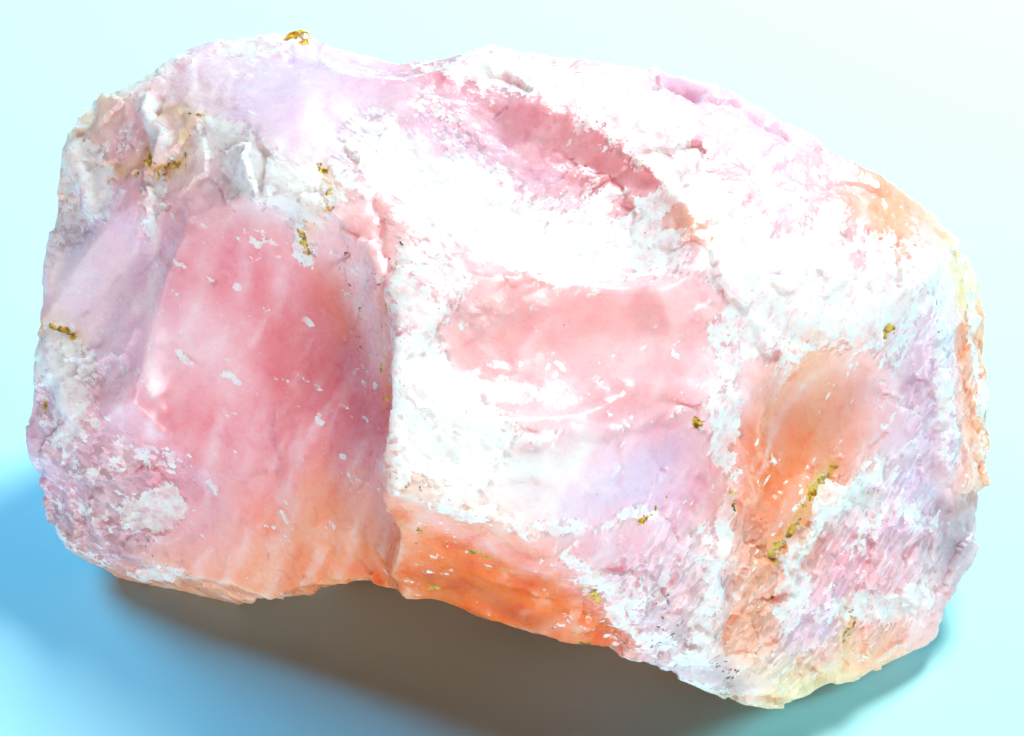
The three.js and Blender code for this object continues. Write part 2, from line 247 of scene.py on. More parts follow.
# ---- lines that several lists below follow: the rose band on the crest, the hem of the dished top, ----
# ---- the right shoulder, the crust at the left end, and the brow at the top left ----
CREST_BAND = [(-12, 25, 52), (-7, 22, 52), (-3, 18, 51), (1, 15, 50), (6, 14, 49), (11, 12, 48), (16, 9, 48)]
HEM = [(2, -23, 42), (6, -22, 42), (10, -21, 41), (15, -19, 40), (20, -17, 39)]
RIGHT_SHOULDER = [(49, 2, 36), (51, -1, 30), (52, -5, 26), (53, -8, 21)]
LEFT_CRUST = [(-56, 4, 23), (-53, 1, 23), (-53, -3, 21)]
BROW = [(-44, 26, 46), (-41, 19, 46), (-41, 16, 43)]

# ---- crust and frost, and white painted as the window's glare: white, rough and grainy. Each is a line, its half width and its strength ----
FROST_AND_GLARE_LINES = [
    # left end
    ([(-53, 24, 40), (-51, 19, 39), (-49, 15, 38)], 1.4, 1.0),
    ([(-41, 14, 42), (-42, 11, 39)], 1.5, 0.95),
    (LEFT_CRUST, 3.0, 1.0),
    ([(-56, -5, 17), (-51, -8, 16), (-46, -7, 19), (-42, -9, 19)], 1.6, 0.48),
    ([(-56, -8, 11), (-50, -12, 12), (-45, -12, 12)], 1.6, 0.44),
    ([(-45, -12, 12), (-42, -11, 14)], 2.2, 1.0),
    ([(-47, -14, 3), (-40, -17, 8)], 1.2, 0.9),
    ([(-56, -9, 7), (-51, -12, 3)], 1.6, 0.6),
    # top left
    ([(-31, 12, 49), (-28, 9, 49), (-23, 5, 49), (-20, 5, 51)], 2.2, 0.9),
    ([(-19, 10, 51), (-16, 4, 51)], 1.2, 0.8),
    ([(-23, 4, 48), (-22, 3, 46), (-23, 2, 44)], 1.0, 0.9),
    (BROW, 1.0, 0.8),
    ([(-35, 17, 48), (-32, 15, 49)], 1.8, 0.8),
    ([(-46, 29, 45), (-40, 31, 47)], 1.6, 0.8),
    ([(-33, 33, 49), (-29, 31, 50)], 2.0, 0.8),
    # top: white painted as the window's glare
    ([(-12, 14, 49), (-4, 5, 47), (3, 1, 46), (9, 0, 45)], 5.5, 1.0),
    ([(-10, 2, 50), (-8, -4, 48), (-9, -10, 48)], 3.0, 0.8),
    ([(13, 3, 46), (26, -1, 46), (33, -3, 43), (41, -1, 40)], 7.0, 1.0),
    ([(22, -8, 43), (23, -14, 40), (24, -17, 36)], 2.0, 1.0),
    ([(-4, 26, 51), (6, 23, 51), (13, 18, 50), (20, 12, 48), (24, 5, 48)], 3.4, 0.95),
    ([(34, 10, 45), (36, 7, 44)], 3.4, 0.9),
    ([(46, 9, 41), (49, 5, 39), (45, 1, 39)], 3.2, 0.8),
    ([(-11, -3, 50), (-11, -16, 48), (-12, -21, 46), (-11, -29, 42)], 1.0, 0.75),
    # front facets: mostly white painted as the window's glare on the flat facets
    ([(-8, -15, 46), (-6, -20, 44), (-8, -25, 43)], 3.6, 1.0),
    ([(-2, -23, 42), (-5, -27, 42)], 2.7, 1.0),
    (HEM, 0.5, 0.95),
    ([(-7, -30, 41), (-4, -31, 40), (1, -32, 38), (5, -31, 37), (10, -29, 35), (14, -27, 34)], 0.9, 0.85),
    ([(6, -33, 34), (9, -33, 30), (12, -34, 25), (15, -34, 19)], 0.9, 0.9),
    ([(9, -33, 29), (14, -33, 26)], 2.2, 0.6),
    ([(13, -32, 30), (17, -31, 26)], 1.4, 0.6),
    ([(15, -34, 20), (20, -34, 16)], 1.9, 0.7),
    ([(14, -34, 15), (19, -34, 11), (24, -34, 9)], 1.3, 0.6),
    # lower right
    ([(24, -20, 34), (25, -22, 31), (24, -25, 28), (23, -28, 25), (22, -31, 20), (23, -33, 16)], 1.1, 1.0),
    ([(21, -26, 28), (23, -30, 22), (22, -33, 18)], 1.2, 0.8),
    ([(43, -13, 23), (40, -16, 23), (37, -17, 24), (35, -20, 24), (33, -23, 22), (32, -26, 18)], 1.5, 0.95),
    ([(42, -16, 21), (44, -17, 19), (40, -21, 18)], 1.3, 0.8),
    ([(47, -15, 19), (51, -15, 15)], 1.3, 0.8),
    ([(32, -24, 21), (33, -26, 18), (32, -29, 16)], 1.6, 0.9),
    ([(37, -27, 14), (42, -24, 13)], 1.4, 0.7),
    ([(41, -25, 13), (45, -24, 10), (50, -21, 8)], 1.6, 0.95),
    (RIGHT_SHOULDER, 1.3, 0.8),
    # back
    ([(10, 29, 46), (18, 27, 40), (28, 22, 30)], 2.4, 0.85),
    ([(-40, 28, 40), (-30, 29, 30), (-26, 28, 18)], 2.4, 0.8),
    ([(-8, 29, 46), (-14, 29, 34)], 3.0, 0.8),
    ([(52, 8, 24), (48, 10, 12)], 2.4, 0.8),
    ([(-55, 4, 12), (-52, 10, 8)], 2.4, 0.8),
    # right end and low front
    ([(57, -6, 14), (59, 2, 20), (57, 8, 28)], 1.5, 0.8),
    ([(50, -14, 5), (57, -4, 5)], 1.3, 0.7),
    ([(56, 4, 8), (52, 12, 6)], 1.6, 0.7),
    ([(-8, -18, 9), (6, -14, 6)], 1.5, 0.65),
    ([(16, -24, 7), (24, -22, 3)], 1.3, 0.65),
]

# ---- glints: painted highlights, as small white flakes in the clear rose, all drawn out the same way ----
GLINTS = [
    (-39, 6, 39), (-33, 3, 39), (-30, 3, 39), (-28, 4, 44), (-30, 5, 44), (-33, -3, 29), (-20, -14, 29),
    (-23, -10, 30), (-27, -16, 19), (-39, -1, 30), (-41, -9, 19), (-36, -11, 18), (-35, 4, 38), (-24, -2, 38),
    (-15, -12, 38), (-17, -8, 41), (12, -15, 42), (17, -11, 43), (5, -13, 43), (30, -17, 30), (35, -11, 32),
]
GLINT_RUN = (1.3, -0.9, -0.6)
GLINT_WIDTH = 0.34
GLINT_STRENGTH = 1.3

# ---- windows where the rose shows through the frost and the painted glare ----
CLEAR_LINES = [
    ([(-4, -12, 44), (1, -10, 44), (8, -9, 44), (14, -7, 45), (20, -7, 45)], 3.2, 1.0),
    ([(-1, -14, 43), (6, -13, 43), (12, -13, 43), (20, -12, 42)], 3.6, 1.0),
    ([(3, -19, 42), (8, -20, 42), (14, -18, 41), (19, -15, 40)], 2.0, 0.9),
    ([(3, -26, 41), (8, -25, 40), (14, -22, 38)], 2.2, 0.85),
    (CREST_BAND, 1.1, 1.0),
    ([(-15, 21, 51), (-11, 17, 51), (-8, 14, 50)], 1.3, 0.85),
    ([(17, 23, 50), (21, 19, 50)], 2.2, 0.9),
    ([(2, 16, 50), (4, 13, 48)], 1.3, 0.9),
    ([(22, 24, 48), (26, 21, 47), (30, 17, 46), (33, 13, 46), (38, 13, 44)], 4.0, 0.9),
    ([(26, 12, 47), (29, 9, 47), (32, 7, 45)], 2.2, 0.8),
    ([(43, 11, 42), (46, 10, 41)], 2.4, 0.9),
    ([(6, 11, 47)], 1.3, 1.0),
    ([(21, -6, 45)], 1.8, 1.0),
    ([(40, 3, 42)], 1.2, 1.0),
    ([(13, 7, 46)], 1.0, 0.9),
    ([(19, 4, 48), (21, 1, 48)], 1.6, 0.9),
    ([(27, -20, 31), (30, -14, 33), (35, -9, 35), (41, -7, 33)], 2.6, 1.0),
    ([(28, -21, 29), (34, -15, 28), (39, -11, 30)], 2.0, 1.0),
]

# ---- ochre stain in cracks: each is a line, its half width and its strength ----
STAIN_LINES = [
    ([(-58, 8, 25), (-55, 6, 26), (-53, 5, 26)], 0.6, 1.0),
    ([(-57, -1, 18), (-57, 0, 20)], 0.5, 0.8),
    ([(-43, 18, 44), (-41, 16, 43), (-38, 15, 46)], 0.8, 0.85),
    ([(-41, 23, 46), (-39, 22, 47), (-36, 20, 48)], 0.6, 0.75),
    ([(-39, 21, 47), (-37, 18, 47)], 0.4, 0.7),
    ([(-44, 29, 45), (-44, 27, 46)], 0.5, 0.8),
    ([(-50, 20, 38), (-47, 18, 40), (-44, 17, 42)], 0.35, 0.7),
    ([(-23, 3, 46), (-23, 2, 44)], 0.7, 0.85),
    ([(-21, 9, 51), (-20, 5, 51), (-20, 3, 50)], 0.5, 0.7),
    ([(-27, 33, 50), (-25, 33, 50)], 0.8, 1.1),
    ([(-24, 33, 50), (-23, 32, 50)], 0.6, 1.1),
    ([(13, 7, 46), (15, 7, 46)], 0.4, 0.8),
    ([(20, 4, 48), (21, 2, 48)], 0.5, 0.9),
    ([(20, -17, 38), (21, -18, 37)], 0.5, 1.0),
    ([(-6, -22, 43), (-4, -22, 43)], 0.4, 1.0),
    ([(-3, -21, 43), (-1, -21, 43)], 0.3, 0.9),
    ([(11, -28, 34), (14, -27, 33), (16, -26, 33), (17, -25, 34)], 0.4, 0.9),
    ([(17, -23, 37), (17, -22, 36)], 0.4, 0.9),
    ([(44, -3, 36), (43, -3, 35)], 0.7, 1.1),
    ([(37, -15, 26), (34, -19, 26), (32, -22, 24), (30, -24, 22), (30, -27, 18)], 0.5, 0.85),
    ([(25, -21, 31), (25, -24, 29)], 0.3, 0.8),
    ([(6, -33, 30), (8, -33, 29), (10, -33, 26)], 0.4, 0.85),
    ([(-10, -30, 35), (-6, -31, 33), (-1, -31, 32)], 0.5, 0.7),
    ([(-8, -30, 25), (-2, -32, 22), (4, -33, 18)], 0.5, 0.7),
    ([(2, -32, 27), (6, -33, 23), (9, -33, 17)], 0.4, 0.7),
    ([(40, -26, 12), (39, -28, 8)], 0.6, 0.8),
    ([(24, -34, 6), (30, -34, 4)], 0.5, 0.7),
    ([(30, 22, 40), (24, 24, 30), (22, 22, 20)], 0.5, 0.8),
    ([(-15, 29, 40), (-22, 29, 28), (-20, 28, 16)], 0.5, 0.8),
    ([(-12, -5, 50), (-13, -9, 46), (-14, -12, 40), (-13, -15, 39)], 0.3, 0.65),
]

# ---- dark pits and specks ----
PIT_LINES = [
    ([(-14, 1, 51), (-12, -5, 50), (-13, -9, 46), (-14, -12, 40), (-12, -20, 42)], 1.6, 0.6),
    ([(-44, -15, 10), (-43, -15, 10)], 0.9, 1.0),
    ([(-11, -29, 42), (-8, -30, 41), (-5, -30, 40)], 1.0, 1.0),
    ([(16, -32, 24), (18, -33, 20), (15, -33, 18)], 1.8, 0.8),
    ([(24, -33, 14), (26, -34, 11)], 1.4, 1.1),
    ([(25, -24, 29), (26, -23, 30)], 0.9, 0.8),
    ([(-10, -30, 34), (-4, -31, 32), (3, -32, 28)], 1.6, 0.5),
    ([(-6, -31, 24), (0, -32, 22), (5, -33, 19)], 1.6, 0.6),
    ([(13, -34, 13), (20, -34, 8), (27, -34, 4)], 1.2, 0.7),
    ([(50, 2, 36), (51, 0, 34)], 1.2, 0.7),
    ([(-28, 8, 46), (-22, 3, 46)], 0.6, 0.7),
    ([(-18, -1, 46), (-17, -6, 42), (-17, -10, 38)], 1.6, 0.8),
]

# ---- how each part broke: glassy and smooth, or hackly with many chips. Each is a place and its reach ----
GLASSY = [
    ((-30, -3, 34), 17), ((-23, -13, 30), 14), ((-33, -13, 20), 10), ((36, -12, 31), 9), ((10, -12, 43), 11),
    ((-51, 9, 31), 9), ((-3, -31, 28), 12), ((-22, 20, 51), 9), ((9, -25, 39), 9), ((-5, -22, 43), 9),
]
HACKLY = [
    ((-51, -9, 14), 11), ((18, -31, 24), 10), ((24, -28, 22), 8),
    ((43, -20, 16), 13), ((33, -27, 14), 9), ((53, -4, 24), 9), ((-54, 1, 22), 6),
    ((0, 28, 30), 14), ((-40, 24, 20), 12), ((40, 18, 20), 14), ((-10, 26, 8), 12),
    ((10, -14, 6), 12), ((-15, -16, 8), 9), ((57, 0, 10), 11), ((52, 12, 22), 9), ((-57, 8, 10), 9),
]

# ---- ridges left standing, and grooves and nicks below zero: a line, its half width and its height ----
RIDGE_LINES = [
    (HEM, 0.8, 0.4),
    ([(25, -19, 34), (26, -22, 29), (25, -24, 27), (23, -28, 25), (23, -31, 20), (23, -33, 16)], 1.4, 0.9),
    ([(43, -13, 24), (40, -16, 24), (37, -17, 24), (35, -20, 24), (33, -23, 22), (32, -26, 18)], 1.4, 1.0),
    (RIGHT_SHOULDER, 1.4, 1.0),
    ([(-54, 24, 38), (-52, 19, 37), (-50, 15, 37)], 1.2, 0.8),
    (LEFT_CRUST, 2.4, 1.2),
    ([(-32, 12, 49), (-28, 9, 49), (-23, 5, 49), (-22, 3, 46)], 2.2, 0.6),
    (BROW, 0.8, 0.8),
    (CREST_BAND, 1.6, -0.4),
    ([(-15, 4, 51), (-13, -6, 49), (-13, -13, 43)], 0.6, -0.5),
    ([(20, 26, 48), (22, 25, 48)], 1.8, -1.6),
    ([(38, -31, 5), (40, -29, 5)], 2.2, -1.6),
    ([(-26, -21, 8), (-24, -22, 9)], 2.0, 0.9),
    ([(-52, 27, 41)], 2.0, -1.2),
    ([(30, 22, 46)], 1.8, -1.2),
    ([(47, 13, 38)], 2.0, -1.4),
    ([(-10, -31, 33), (-5, -32, 30), (3, -33, 27), (9, -34, 21)], 0.8, 0.7),
]

# ---- ragged edges: how far places are pushed about in mm, how far apart the pushes are, and a seed ----
FROST_AND_GLARE_WARP = (1.3, 6, 40)
WINDOW_WARP = (0.9, 4, 45)
GLINT_WARP = (0.5, 2, 47)
STAIN_WARP = (0.6, 2.5, 41)
BREAK_WARP = (1.2, 7, 40)
SKIN_WARP = (1.0, 5, 40)
PATCH_WARP = (2.0, 9, 60)
GLAZE_WARP = (0.8, 4, 65)
CLOUD_WARP = (2, 8, 85)

# ---- how lines and places fade out, in half widths and in reaches ----
LINE_FADE = (0.3, 2.0)
PLACE_FADE = (0.7, 1.25)
RIDGE_FADE = 1.6

# ---- waves: their span in mm, a seed, the number of layers, and how strong each is beside the last ----
GRAIN_WAVES = (2.0, 30, 3, 0.5)
SWELL_WAVES = (12, 33, 2, 0.5)
DRIFT_WAVES = (13, 70, 4, 0.6)
CLOUD_WAVES = (6, 90, 4, 0.6)
LEFT_STREAK_WAVES = (2.4, 80, 3, 0.6)
RIGHT_STREAK_WAVES = (2.4, 81, 3, 0.6)

# ---- frost drifts on the hidden back: how far back they fade in, how high they fade out, and cover ----
DRIFT_STRENGTH = 0.8
BACK_FADE = (6, 22)
TOP_FADE = (40, 47)
DRIFT_COVER = (0.05, 0.5)

# ---- chips: long chips count distance along their long way for less ----
ROUND_CHIP = np.array((1.0, 1.0, 1.0))
LONG_CHIP = np.array((0.8, 1.0, 0.65))
# Each row: shape, warp, span in mm, seed, height in mm, and its share of that height anywhere, on rough
# skin, on hackly skin, and on hackly skin under the frost and glare field.
CHIPS = [
    (ROUND_CHIP, (1.0, 6, 21), 7.0, 11, 0.50, (0.15, 0.85, 0.0, 0.0)),
    (LONG_CHIP, (0.7, 4, 23), 3.6, 13, 0.50, (0.05, 0.20, 0.9, 0.0)),
    (LONG_CHIP, (0.3, 3, 22), 1.7, 12, 0.22, (0.05, 0.35, 0.4, 1.0)),
]

# ---- relief of the skin between the chips, in mm ----
GRAIN_HEIGHT = 0.10
SWELL_HEIGHT = 0.35
FROST_AND_GLARE_HEIGHT = 0.12
STAIN_DEPTH = 0.30
GLASSY_CALM = 0.85

# ---- clouds and streaks in the body colour ----
LEFT_STREAK_WAY = np.array((-0.44, -0.29, -0.85))
RIGHT_STREAK_WAY = np.array((-0.53, -0.77, -0.35))
STREAK_LENGTH = 7
STREAK_VEIL = 0.75
CLOUD_VEIL = 0.30
STREAK_DEPTH = 0.14
CLOUD_DEPTH = 0.18
VEIL_COLOUR = np.array((0.96, 0.82, 0.88))

# ---- how many shards are white flecks painted as glints: anywhere, on hackly skin and in frost and glare ----
GLINT_FLECKS_ANYWHERE = 0.014
GLINT_FLECKS_HACKLY = 0.07
GLINT_FLECKS_IN_FROST_AND_GLARE = 0.10

# ---- shader patterns, in features per metre, and the ways they are drawn out at the left and right ----
GRAIN_WAYS = ((0.72, -0.69, 0.04), (-0.53, -0.77, -0.34))
SIDE_BLEND = 4 * MM
GRAIN_SCALE = 800
SPECKLE_SCALE = 1500
SHARD_SCALE = 2200
SHARD_LENGTH = 2.8
SPLINTER_SCALE = 420
SPLINTER_LENGTH = 5
CRUST_SCALE = 520
FINE_SCALE = 1500

# ---- shader colours and skin, with bumps and the depth of scattered light in mm ----
# white of the frost and of the painted glare, tinted cyan like the window light
FROST_AND_GLARE_COLOUR = (0.82, 0.93, 0.95, 1)
DARK_OCHRE = (0.26, 0.13, 0.01, 1)
PALE_OCHRE = (0.78, 0.56, 0.06, 1)
PIT_COLOUR = (0.16, 0.07, 0.05, 1)
SHARD_SHADES = (0.76, 1.14)
CRUST_COVER = (0.38, 0.96)
ROSE_ROUGHNESS = 0.30
FROST_AND_GLARE_ROUGHNESS = 0.60
FINE_BUMP = 0.14
SPLINTER_BUMP = 0.5
QUARTZ_IOR = 1.54
SCATTER_WEIGHT = 0.6
SCATTER_RADIUS = (1.0, 0.35, 0.25)
SCATTER_DEPTH = 5

# ---- table, backdrop and camera, in metres ----
TABLE_COLOUR = (0.33, 0.50, 0.51, 1)
TABLE_ROUGHNESS = 0.8
TABLE_RADIUS = 0.6
TABLE_SIDES = 96
WALL_COLOUR = (0.67, 0.97, 0.98, 1)
CAMERA_ELEVATION = math.radians(50)
CAMERA_AIM = Vector((0.5, 1.0, 25.0)) * MM
CAMERA_DISTANCE = 0.207
LENS = 60.0

# ---- lamps: name, what it lights, place and size in metres, power in watts, and colour ----
LIGHT_AIM = Vector((0, 0, 0.02))
WINDOW_PLACE = (0.20, 0.36, 0.46)
LAMPS = [
    ("room", "both", (-0.2, -0.5, 0.7), 1.0, 1.6, (1.0, 0.60, 0.50)),
    ("window", "stone", WINDOW_PLACE, 0.17, 5.0, (0.86, 1.0, 1.0)),
    ("window_on_table", "table", WINDOW_PLACE, 0.17, 9.2, (0.80, 1.0, 1.0)),
    ("sky_left", "table", (-0.41, 0.32, 0.28), 0.26, 8.5, (0.16, 0.60, 1.0)),
    ("sky_right", "table", (0.50, 0.08, 0.22), 0.20, 4.5, (0.30, 0.90, 1.0)),
    ("front_fill", "stone", (0.18, -0.52, 0.17), 0.20, 2.2, (1.0, 0.96, 0.94)),
    ("left_fill", "stone", (-0.50, -0.22, 0.22), 0.50, 1.1, (1.0, 0.80, 0.83)),
]


# ---- noise on arrays of points ----

def scramble(cells, seed):
    """One random number from 0 to 1 for each whole-number cell, the same on every run."""
    x, y, z = (cells[..., i].astype(np.int64).astype(np.uint64) for i in range(3))
    mixed = x * np.uint64(0x9E3779B1) ^ y * np.uint64(0x85EBCA77) ^ z * np.uint64(0xC2B2AE3D)
    mixed = (mixed ^ np.uint64(seed * 7919 + 101)) & np.uint64(0xFFFFFFFF)
    for shift, factor in ((15, 0x2C1B3C6D), (12, 0x297A2D39), (15, 0x5BD1E995)):
        mixed = ((mixed ^ (mixed >> np.uint64(shift))) * np.uint64(factor)) & np.uint64(0xFFFFFFFF)
    return mixed.astype(np.float64) / 0xFFFFFFFF


def waves(points, span, seed):
    """Smooth gradient noise, about -1 to 1, whose bumps are `span` apart."""
    places = points / span
    cells = np.floor(places)
    inside = places - cells
    blend = inside ** 3 * (inside * (inside * 6 - 15) + 10)
    total = np.zeros(len(points))
    for corner in np.ndindex(2, 2, 2):
        corner = np.array(corner)
        weight = np.prod(np.where(corner == 1, blend, 1 - blend), axis=1)
        slope = np.stack([scramble(cells + corner, seed + i) for i in range(3)], axis=1) * 2 - 1
        total += weight * np.sum(slope * (inside - corner), axis=1)
    return total * 1.6


def layered_waves(points, span, seed, layers=4, gain=0.5):
    """Waves with finer, weaker waves on top of them."""
    return sum(gain ** i * waves(points, span / 2 ** i, seed + 10 * i) for i in range(layers))


def warped(points, reach, span, seed):
    """The points pushed about by noise, so that what is measured from them gets ragged edges."""
    push = np.stack([layered_waves(points, span, seed + 100 * i, 3) for i in range(3)], axis=1)
    return points + reach * push


def chips(points, span, seed):
    """The height of flat tilted chips about `span` across, as on a hackly break."""
    places = points / span
    home = np.floor(places)
    nearest = np.full(len(points), np.inf)
    height = np.zeros(len(points))
    for step in np.ndindex(3, 3, 3):
        cell = home + np.array(step) - 1
        draws = np.stack([scramble(cell, seed + i) for i in range(6)], axis=1)
        offset = places - (cell + draws[:, :3])
        far = np.linalg.norm(offset, axis=1)
        tilt = np.sum(offset * (draws[:, 3:] * 2 - 1), axis=1) + (draws[:, 3] - 0.5)
        height = np.where(far < nearest, tilt, height)
        nearest = np.minimum(nearest, far)
    return height


def rise(low, high, values):
    """0 below `low`, 1 above `high`, smooth between."""
    t = np.clip((values - low) / (high - low), 0, 1)
    return t * t * (3 - 2 * t)


def distance_to_line(points, line):
    line = np.array(line, dtype=float)
    if len(line) == 1:
        return np.linalg.norm(points - line[0], axis=1)
    best = np.full(len(points), np.inf)
    for start, end in zip(line[:-1], line[1:]):
        along = end - start
        t = np.clip((points - start) @ along / (along @ along), 0, 1)
        best = np.minimum(best, np.linalg.norm(points - start - t[:, None] * along, axis=1))
    return best


def near_lines(points, lines):
    """The strongest of several lines at each point: full on the line, none at twice its half width."""
    best = np.zeros(len(points))
    for line, half_width, strength in lines:
        away = distance_to_line(points, line) / half_width
        best = np.maximum(best, strength * (1 - rise(*LINE_FADE, away)))
    return best


def near_places(points, places):
    """1 within reach of any of the places, fading to 0 just outside it."""
    return np.max([1 - rise(*PLACE_FADE, distance_to_line(points, [place]) / reach)
                   for place, reach in places], axis=0)


# ---- the stone's mesh ----

def crease_copy():
    """A copy of the CAD stone whose real edges are marked crisp and whose small facets are not."""
    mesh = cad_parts[NODE].data.copy()
    mesh.materials.clear()
    stone = bpy.data.objects.new("rose_quartz_stone", mesh)
    bpy.context.scene.collection.objects.link(stone)
    shell = bmesh.new()
    shell.from_mesh(mesh)
    bmesh.ops.remove_doubles(shell, verts=shell.verts, dist=SAME_PLACE)
    crease = shell.edges.layers.float.new("crease_edge")
    for edge in shell.edges:
        bend = abs(edge.calc_face_angle(0))
        edge[crease] = min(max((bend - SOFT_EDGE) / (SHARP_EDGE - SOFT_EDGE), 0), 1)
    shell.to_mesh(mesh)
    shell.free()
    return stone


def apply_modifiers(piece):
    shown = piece.evaluated_get(bpy.context.evaluated_depsgraph_get())
    mesh = bpy.data.meshes.new_from_object(shown)
    piece.modifiers.clear()
    piece.data = mesh


def finer_stone():
    """The CAD stone with its edges kept, its facets smoothed, and small even faces to carve."""
    stone = crease_copy()
    smooth = stone.modifiers.new("smooth", "SUBSURF")
    smooth.levels = smooth.render_levels = SMOOTH_LEVELS
    remesh = stone.modifiers.new("even", "REMESH")
    remesh.mode = "VOXEL"
    remesh.voxel_size = VOXEL * MM
    apply_modifiers(stone)
    return stone


def thin_out(stone):
    """Drops triangles where the skin is nearly flat, and keeps them where it is chipped."""
    triangles = 2 * len(stone.data.polygons)
    if triangles > MOST_TRIANGLES:
        fewer = stone.modifiers.new("fewer", "DECIMATE")
        fewer.ratio = MOST_TRIANGLES / triangles
        apply_modifiers(stone)


def read_vectors(items, key):
    """One row of three numbers for each vertex."""
    flat = np.empty(len(items) * 3, dtype=np.float32)
    items.foreach_get(key, flat)
    return flat.reshape(-1, 3).astype(np.float64)


def read_points(mesh):
    return read_vectors(mesh.vertices, "co") / MM


def write_points(mesh, points):
    """Writes the skin back, held inside the CAD box, with its resting face on the ground."""
    low, high = (np.array(corner) / MM for corner in cad_box)
    resting = points[:, 2] < GROUND_BAND
    points = np.clip(points, low + INSET, high - INSET)
    points[:, 2] = np.where(resting, low[2], points[:, 2])
    mesh.vertices.foreach_set("co", (points * MM).astype(np.float32).ravel())
    mesh.update()


def frost_and_glare_field(points):
    """Where white frost has grown, and where white is painted as the window's glare: along the lines and in
    drifts over the hidden back, but not in windows. Painted glints are laid on top.
    """
    frost_and_glare = near_lines(warped(points, *FROST_AND_GLARE_WARP), FROST_AND_GLARE_LINES)
    hidden = rise(*BACK_FADE, points[:, 1]) * (1 - rise(*TOP_FADE, points[:, 2]))
    drifts = DRIFT_STRENGTH * hidden * rise(*DRIFT_COVER, layered_waves(points, *DRIFT_WAVES))
    windows = near_lines(warped(points, *WINDOW_WARP), CLEAR_LINES)
    flakes = [([spot, np.add(spot, GLINT_RUN)], GLINT_WIDTH, GLINT_STRENGTH) for spot in GLINTS]
    glints = near_lines(warped(points, *GLINT_WARP), flakes)
    return np.maximum(np.maximum(frost_and_glare, drifts) * (1 - windows), glints)


def chip_relief(points, rough, hackly, frost_and_glare):
    relief = np.zeros(len(points))
    for shape, warp, span, seed, height, (anywhere, on_rough, on_hackly, in_frost_and_glare) in CHIPS:
        share = anywhere + on_rough * rough + hackly * (on_hackly + in_frost_and_glare * frost_and_glare)
        relief += height * chips(warped(points, *warp) * shape, span, seed) * share
    return relief


def carve(mesh):
    """Moves the skin in and out by its chips, waves, frost and glare field, cracks and ridges, and leaves the
    foot calm.
    """
    points = read_points(mesh)
    normals = read_vectors(mesh.vertex_normals, "vector")
    ragged = warped(points, *BREAK_WARP)
    glassy = near_places(ragged, GLASSY)
    hackly = near_places(ragged, HACKLY)
    rough = 1 - GLASSY_CALM * glassy
    frost_and_glare = frost_and_glare_field(points)
    relief = chip_relief(points, rough, hackly, frost_and_glare)
    relief += GRAIN_HEIGHT * layered_waves(points, *GRAIN_WAVES) * (0.15 + rough)
    relief += SWELL_HEIGHT * layered_waves(points, *SWELL_WAVES) * glassy
    relief += FROST_AND_GLARE_HEIGHT * frost_and_glare
    relief -= STAIN_DEPTH * near_lines(ragged, STAIN_LINES)
    for line, half_width, height in RIDGE_LINES:
        relief += height * (1 - rise(0, RIDGE_FADE, distance_to_line(ragged, line) / half_width))
    calm = rise(0, BASE_ZONE, points[:, 2])
    write_points(mesh, points + normals * (relief * calm)[:, None])


# ---- paint ----

def stretched(points, way, length):
    """Points squeezed along `way`, so that noise taken from them is drawn out along it."""
    return points + (points @ way)[:, None] * way * (1 / length - 1)


def patch_colours(points):
    """The colour of the nearest patches, blended softly where two meet."""
    places = np.array([spot for _, spots in PATCHES for spot in spots], dtype=float)
    colours = np.array([PALETTE[name] for name, spots in PATCHES for _ in spots])
    ragged = warped(points, *PATCH_WARP)
    squares = np.stack([np.sum((ragged - place) ** 2, axis=1) for place in places], axis=1)
    squares -= squares.min(axis=1, keepdims=True)
    weights = np.exp(-squares / (2 * PATCH_REACH ** 2))
    weights /= weights.sum(axis=1, keepdims=True)
    return weights @ colours


def glaze(points, colour):
    """Lays the glazes over the colour, one after another."""
    loose = warped(points, *GLAZE_WARP)
    for name, line, half_width, strength in GLAZES:
        amount = near_lines(loose, [(line, half_width, strength)])
        colour += (np.array(PALETTE[name]) - colour) * amount[:, None]


def streaks(points):
    """Noise drawn out along the grain, which runs one way at the left and another at the right."""
    left = layered_waves(stretched(points, LEFT_STREAK_WAY, STREAK_LENGTH), *LEFT_STREAK_WAVES)
    right = layered_waves(stretched(points, RIGHT_STREAK_WAY, STREAK_LENGTH), *RIGHT_STREAK_WAVES)
    return np.where(points[:, 0] < 0, left, right)


def body_colour(points):
    """The patches and glazes, clouded by milky veils and streaks, and a little deeper here and there."""
    colour = patch_colours(points)
    glaze(points, colour)
    streak = streaks(points)
    cloud = layered_waves(warped(points, *CLOUD_WARP), *CLOUD_WAVES)
    veil = STREAK_VEIL * rise(0.12, 0.8, streak) + CLOUD_VEIL * rise(0.1, 0.8, cloud)
    depth = 1 - CLOUD_DEPTH * rise(0.0, 0.8, -cloud) - STREAK_DEPTH * rise(0.1, 0.8, -streak)
    colour = colour ** (1 / depth)[:, None]
    milky = 0.5 * colour ** 0.6 + 0.5 * (colour + (VEIL_COLOUR - colour) * 0.6)
    return colour + (milky - colour) * veil[:, None]


def store(mesh, name, values):
    """Keeps one number, or one colour, for each vertex."""
    kind = "FLOAT_COLOR" if values.ndim == 2 else "FLOAT"
    layer = mesh.attributes.new(name, kind, "POINT")
    if kind == "FLOAT":
        layer.data.foreach_set("value", values.astype(np.float32))
    else:
        with_alpha = np.concatenate([values, np.ones((len(values), 1))], axis=1)
        layer.data.foreach_set("color", with_alpha.astype(np.float32).ravel())


